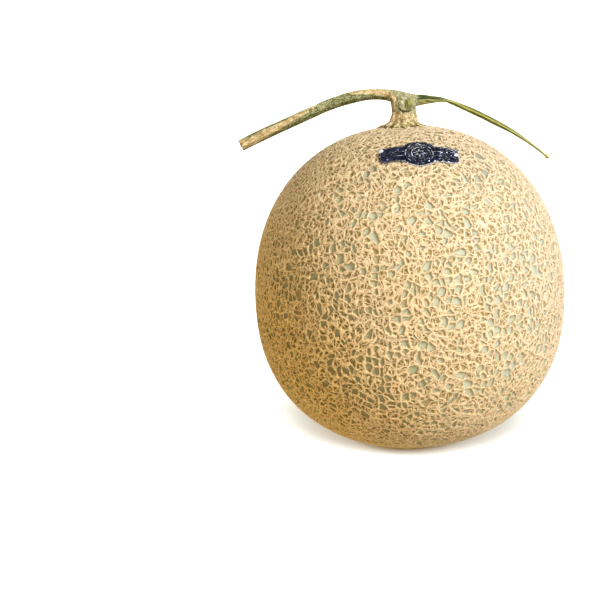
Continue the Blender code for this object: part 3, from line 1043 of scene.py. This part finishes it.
class MELON_OT_stage(bpy.types.Operator):
    """Sets the pale floor, the lights and the camera"""

    bl_idname = "melon.stage"
    bl_label = "Stage"

    def execute(self, context):
        sizes = context.scene.melon_stage
        self.floor(sizes)
        self.lights(sizes)
        self.camera()
        settings = context.scene.view_settings
        settings.view_transform = "Standard"
        settings.look = "Medium High Contrast"
        return {"FINISHED"}

    def floor(self, sizes):
        """A round floor whose rim curves up all round, so that it has no edge in any view."""
        deselect()
        bpy.ops.mesh.primitive_circle_add(vertices=128, radius=FLOOR_RADIUS, fill_type="NGON")
        floor = bpy.context.object
        floor.name = floor.data.name = "floor"
        bpy.ops.object.mode_set(mode="EDIT")
        bpy.ops.mesh.select_all(action="SELECT")
        bpy.ops.mesh.region_to_loop()
        for step in range(RIM_STEPS):
            turn, after = (math.pi / 2 * (step + k) / RIM_STEPS for k in (0, 1))
            out, out_after = (FLOOR_RADIUS + FLOOR_RIM * math.sin(angle) for angle in (turn, after))
            rise = FLOOR_RIM * (math.cos(turn) - math.cos(after))
            bpy.ops.mesh.extrude_edges_move(TRANSFORM_OT_translate={"value": (0, 0, rise)})
            scale = out_after / out
            bpy.ops.transform.resize(value=(scale, scale, 1))
        bpy.ops.object.mode_set(mode="OBJECT")
        bpy.ops.object.shade_smooth()
        finish, shader = new_finish("pale floor", roughness=0.9)
        shader.inputs["Base Color"].default_value = (*sizes.floor_colour, 1)
        floor.data.materials.append(finish)
        floor.visible_diffuse = False

    def lights(self, sizes):
        world = bpy.data.worlds.new("soft light")
        bpy.context.scene.world = world
        world.use_nodes = True
        sky = world.node_tree.nodes["Background"]
        sky.inputs["Color"].default_value = (*sizes.sky_colour, 1)
        sky.inputs["Strength"].default_value = sizes.sky_strength
        melon = bpy.data.collections.new("melon")
        for name in ("rind", "vine", "foil"):
            melon.objects.link(bpy.data.objects[name])
        floor = bpy.data.collections.new("floor")
        floor.objects.link(bpy.data.objects["floor"])
        self.light("key", KEY_PLACE, CENTRE, sizes.key_power, KEY_WIDTH, lit=melon)
        self.light("fill", FILL_PLACE, CENTRE, sizes.fill_power, FILL_WIDTH, FILL_COLOUR)
        self.light("top", TOP_PLACE, CENTRE, sizes.top_power, TOP_WIDTH)
        self.light("back", BACK_PLACE, CENTRE, sizes.back_power, BACK_WIDTH, lit=melon)
        self.light(
            "bounce", BOUNCE_PLACE, CENTRE, sizes.bounce_power, BOUNCE_WIDTH, FILL_COLOUR, melon, melon
        )
        foot = Vector((0, 0, 0))
        self.light("table", TABLE_PLACE, foot, sizes.table_power, TABLE_WIDTH, COOL, floor)
        for side in (-1, 1):
            place = Vector((side * SIDE_PLACE.x, SIDE_PLACE.y, SIDE_PLACE.z))
            self.light(f"side_{side}", place, foot, sizes.side_power, SIDE_WIDTH, COOL, floor)
        for i in range(WALL_LIGHTS):
            turn = math.pi / 4 + 2 * math.pi / WALL_LIGHTS * i
            way = Vector((math.cos(turn), math.sin(turn), 0))
            place, aim = (way * out + Vector((0, 0, up)) for out, up in (WALL_PLACE, WALL_AIM))
            self.light(f"wall_{i}", place, aim, sizes.wall_power, WALL_WIDTH)

    def light(self, name, place, aim, power, width, colour=(1, 1, 1), lit=None, shades=None):
        """A square light, aimed at a point. Collections say what it lights and what casts its shade."""
        deselect()
        bpy.ops.object.light_add(type="AREA", location=place)
        light = bpy.context.object
        light.name = name
        light.data.energy = power
        light.data.color = colour
        light.data.size = width
        if lit:
            light.light_linking.receiver_collection = lit
        if shades:
            light.light_linking.blocker_collection = shades
        light.rotation_euler = (place - aim).to_track_quat("Z", "Y").to_euler()

    def camera(self):
        deselect()
        back = Vector((0, -math.cos(CAMERA_RISE), math.sin(CAMERA_RISE)))
        bpy.ops.object.camera_add(location=CENTRE + back * CAMERA_DISTANCE)
        camera = bpy.context.object
        camera.name = "camera"
        camera.data.lens = CAMERA_LENS
        camera.data.sensor_width = SENSOR
        camera.data.clip_start = 0.01
        pixel = SENSOR / PICTURE / CAMERA_LENS
        aside = Matrix.Rotation(math.atan((MIDDLE_ACROSS - PICTURE / 2) * pixel), 4, "Y")
        tilt = Matrix.Rotation(-math.atan((PICTURE / 2 - MIDDLE_DOWN) * pixel), 4, "X")
        straight = (-back).to_track_quat("-Z", "Y").to_matrix().to_4x4()
        camera.rotation_euler = (straight @ aside @ tilt).to_euler()
        bpy.context.scene.camera = camera


OPERATORS = (MELON_OT_rind, MELON_OT_stem, MELON_OT_label, MELON_OT_stage)
SETTINGS = {
    "melon_rind": RindSettings,
    "melon_stem": StemSettings,
    "melon_label": LabelSettings,
    "melon_stage": StageSettings,
}


class MELON_PT_looks(bpy.types.Panel):
    """Lists the pieces of the muskmelon and their sizes and colours"""

    bl_idname = "MELON_PT_looks"
    bl_label = "Muskmelon"
    bl_space_type = "VIEW_3D"
    bl_region_type = "UI"
    bl_category = "Muskmelon"

    def draw(self, context):
        for operator, (name, kind) in zip(OPERATORS, SETTINGS.items()):
            box = self.layout.box()
            box.operator(operator.bl_idname)
            for setting in kind.__annotations__:
                box.prop(getattr(context.scene, name), setting)


def register():
    for kind in (*SETTINGS.values(), *OPERATORS, MELON_PT_looks):
        bpy.utils.register_class(kind)
    for name, kind in SETTINGS.items():
        setattr(bpy.types.Scene, name, bpy.props.PointerProperty(type=kind))


def unregister():
    for name in SETTINGS:
        delattr(bpy.types.Scene, name)
    for kind in (MELON_PT_looks, *reversed(OPERATORS), *SETTINGS.values()):
        bpy.utils.unregister_class(kind)


def main():
    register()
    bpy.ops.melon.rind()
    bpy.ops.melon.stem()
    bpy.ops.melon.label()
    bpy.ops.melon.stage()


if __name__ == "__main__":
    main()
